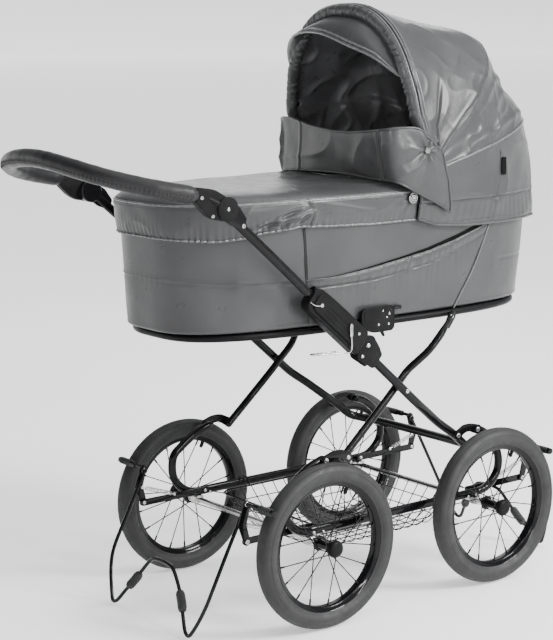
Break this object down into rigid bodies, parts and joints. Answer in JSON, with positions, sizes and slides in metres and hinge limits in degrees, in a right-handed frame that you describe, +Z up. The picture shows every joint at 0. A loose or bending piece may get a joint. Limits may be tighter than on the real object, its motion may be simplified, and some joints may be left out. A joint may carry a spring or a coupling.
{
  "type": "pram",
  "caption": "Classic pram: carrycot with apron and folding hood on a spring chassis with large spoked wheels, scissor fold frame and tilting push bar.",
  "frame": {"origin": "on the ground, below the middle of the whole object", "axes": "+X towards the hood end, -X towards the push bar, +Y to the left side, +Z up"},
  "size_m": [1.2759, 0.594, 1.2789],
  "materials": {
    "black_enamel": "gloss black stoved enamel on steel tube",
    "zinc_wire": "bright zinc plated steel",
    "tyre_rubber": "matt black rubber with ribbed side walls",
    "black_plastic": "fine grained black moulding",
    "grey_leatherette": "grey leatherette with a soft metallic sheen",
    "black_leatherette": "black stitched leatherette sleeve",
    "mattress_cover": "white woven cotton cover"
  },
  "bodies": {
    "chassis": {"right_side_rail": "black_enamel", "left_side_rail": "black_enamel", "rear_axle": "zinc_wire", "front_axle": "zinc_wire", "rear_right_c_spring": "black_enamel", "rear_left_c_spring": "black_enamel", "front_right_c_spring": "black_enamel", "front_left_c_spring": "black_enamel", "wire_basket": "black_enamel", "rear_right_brake_arm": "black_enamel", "rear_left_brake_arm": "black_enamel", "front_right_brake_arm": "black_enamel", "front_left_brake_arm": "black_enamel", "rear_right_brake_spring": "zinc_wire", "rear_left_brake_spring": "zinc_wire", "front_right_brake_spring": "zinc_wire", "front_left_brake_spring": "zinc_wire"},
    "rear_right_wheel": {"rear_right_tyre": "tyre_rubber", "rear_right_wheel": "black_enamel"},
    "rear_left_wheel": {"rear_left_tyre": "tyre_rubber", "rear_left_wheel": "black_enamel"},
    "front_right_wheel": {"front_right_tyre": "tyre_rubber", "front_right_wheel": "black_enamel"},
    "front_left_wheel": {"front_left_tyre": "tyre_rubber", "front_left_wheel": "black_enamel"},
    "rear_links": {"rear_right_link": "black_enamel", "rear_left_link": "black_enamel"},
    "front_links": {"front_right_link": "black_enamel", "front_left_link": "black_enamel"},
    "scissor": {"right_scissor_tube": "black_enamel", "left_scissor_tube": "black_enamel"},
    "handle_frame": {"lower_handle_frame": "black_enamel", "right_lock_bracket": "black_enamel", "left_lock_bracket": "black_enamel"},
    "support_ring": {"carrycot_ring": "black_enamel", "right_adapter": "black_plastic", "left_adapter": "black_plastic"},
    "right_adapter_lever": {"right_adapter_lever": "black_plastic"},
    "left_adapter_lever": {"left_adapter_lever": "black_plastic"},
    "carrycot": {"carrycot_tub": "grey_leatherette", "mattress": "mattress_cover", "apron": "grey_leatherette", "hood_rear_panel": "grey_leatherette"},
    "wind_panel": {"wind_panel": "grey_leatherette"},
    "hood": {"hood_bow": "zinc_wire", "hood_front_panel": "grey_leatherette"},
    "upper_handle": {"right_upper_handle_tube": "black_enamel", "left_upper_handle_tube": "black_enamel", "right_lock_housing": "black_plastic", "left_lock_housing": "black_plastic"},
    "push_bar": {"push_bar": "black_leatherette"},
    "right_lock_bail": {"right_lock_bail": "zinc_wire"},
    "left_lock_bail": {"left_lock_bail": "zinc_wire"},
    "rear_brake_links": {"rear_right_brake_link": "black_enamel", "rear_left_brake_link": "black_enamel"},
    "rear_brake_loop": {"rear_brake_loop": "black_enamel"},
    "front_brake_links": {"front_right_brake_link": "black_enamel", "front_left_brake_link": "black_enamel"},
    "front_brake_loop": {"front_brake_loop": "black_enamel"}
  },
  "joints": [
    {"name": "rear_right_wheel_spin", "type": "hinge", "parent": "chassis", "child": "rear_right_wheel", "pos_m": [-0.1137, -0.2596, 0.175], "axis": [0, 1, 0], "continuous": true},
    {"name": "rear_left_wheel_spin", "type": "hinge", "parent": "chassis", "child": "rear_left_wheel", "pos_m": [-0.1137, 0.2596, 0.175], "axis": [0, 1, 0], "continuous": true},
    {"name": "front_right_wheel_spin", "type": "hinge", "parent": "chassis", "child": "front_right_wheel", "pos_m": [0.3651, -0.2596, 0.175], "axis": [0, 1, 0], "continuous": true},
    {"name": "front_left_wheel_spin", "type": "hinge", "parent": "chassis", "child": "front_left_wheel", "pos_m": [0.3651, 0.2596, 0.175], "axis": [0, 1, 0], "continuous": true},
    {"name": "frame_fold", "type": "hinge", "parent": "chassis", "child": "rear_links", "pos_m": [-0.0793, 0, 0.342], "axis": [0, 1, 0], "range_deg": [0, 63.3]},
    {"name": "scissor_fold", "type": "hinge", "parent": "rear_links", "child": "scissor", "pos_m": [-0.0203, 0, 0.339], "axis": [0, 1, 0], "range_deg": [-41.4, 0]},
    {"name": "handle_frame_fold", "type": "hinge", "parent": "scissor", "child": "handle_frame", "pos_m": [0.1257, 0, 0.468], "axis": [0, 1, 0], "range_deg": [-42, 0]},
    {"name": "ring_level", "type": "hinge", "parent": "scissor", "child": "support_ring", "pos_m": [0.2637, 0, 0.61], "axis": [0, 1, 0], "range_deg": [-22.1, 0]},
    {"name": "front_link_fold", "type": "hinge", "parent": "chassis", "child": "front_links", "pos_m": [0.3537, 0, 0.342], "axis": [0, 1, 0], "range_deg": [-63.4, 0]},
    {"name": "upper_handle_fold", "type": "hinge", "parent": "handle_frame", "child": "upper_handle", "pos_m": [0.02385, 0, 0.57616], "axis": [0, 1, 0], "range_deg": [0, 45]},
    {"name": "push_bar_tilt", "type": "hinge", "parent": "upper_handle", "child": "push_bar", "pos_m": [-0.3513, 0, 0.89], "axis": [0, 1, 0], "range_deg": [-40, 40]},
    {"name": "right_lock_bail_swing", "type": "hinge", "parent": "upper_handle", "child": "right_lock_bail", "pos_m": [-0.0408, -0.2548, 0.627], "axis": [0, 1, 0], "range_deg": [0, 25], "stiffness_Nm_per_rad": 0.1},
    {"name": "right_adapter_release", "type": "hinge", "parent": "support_ring", "child": "right_adapter_lever", "pos_m": [0.1073, -0.217, 0.643], "axis": [0, 1, 0], "range_deg": [0, 20], "stiffness_Nm_per_rad": 0.05},
    {"name": "left_lock_bail_swing", "type": "hinge", "parent": "upper_handle", "child": "left_lock_bail", "pos_m": [-0.0408, 0.2548, 0.627], "axis": [0, 1, 0], "range_deg": [0, 25], "stiffness_Nm_per_rad": 0.1},
    {"name": "left_adapter_release", "type": "hinge", "parent": "support_ring", "child": "left_adapter_lever", "pos_m": [0.1073, 0.217, 0.643], "axis": [0, 1, 0], "range_deg": [0, 20], "stiffness_Nm_per_rad": 0.05},
    {"name": "carrycot_lift", "type": "slide", "parent": "support_ring", "child": "carrycot", "axis": [0, 0, 1], "range_m": [0, 0.15]},
    {"name": "wind_panel_fold", "type": "hinge", "parent": "carrycot", "child": "wind_panel", "pos_m": [0.1157, 0, 0.921], "axis": [0, 1, 0], "range_deg": [-70, 0]},
    {"name": "hood_fold", "type": "hinge", "parent": "carrycot", "child": "hood", "pos_m": [0.2157, 0, 0.97], "axis": [0, 1, 0], "range_deg": [0, 50], "deforming": ["hood_front_panel"]},
    {"name": "rear_brake", "type": "hinge", "parent": "chassis", "child": "rear_brake_links", "pos_m": [-0.2683, 0, 0.198], "axis": [0, 1, 0], "range_deg": [-10, 0], "stiffness_Nm_per_rad": 8, "springref_deg": 8.59, "deforming": ["rear_right_brake_spring", "rear_left_brake_spring"]},
    {"name": "rear_brake_pedal", "type": "hinge", "parent": "rear_brake_links", "child": "rear_brake_loop", "pos_m": [-0.2673, 0, 0.268], "axis": [0, 1, 0], "range_deg": [0, 35.1]},
    {"name": "front_brake", "type": "hinge", "parent": "chassis", "child": "front_brake_links", "pos_m": [0.5197, 0, 0.198], "axis": [0, 1, 0], "range_deg": [0, 10], "stiffness_Nm_per_rad": 8, "springref_deg": -8.59, "deforming": ["front_right_brake_spring", "front_left_brake_spring"]},
    {"name": "front_brake_pedal", "type": "hinge", "parent": "front_brake_links", "child": "front_brake_loop", "pos_m": [0.5187, 0, 0.268], "axis": [0, 1, 0], "range_deg": [-35.1, 0]}
  ],
  "couplings": [
    {"joint": "scissor_fold", "follows": "frame_fold", "ratio": -0.6525},
    {"joint": "handle_frame_fold", "follows": "frame_fold", "ratio": -0.6611},
    {"joint": "ring_level", "follows": "frame_fold", "ratio": -0.3475},
    {"joint": "front_link_fold", "follows": "frame_fold", "ratio": -1},
    {"joint": "rear_brake_pedal", "follows": "rear_brake", "ratio": -3.5},
    {"joint": "front_brake_pedal", "follows": "front_brake", "ratio": -3.5}
  ]
}
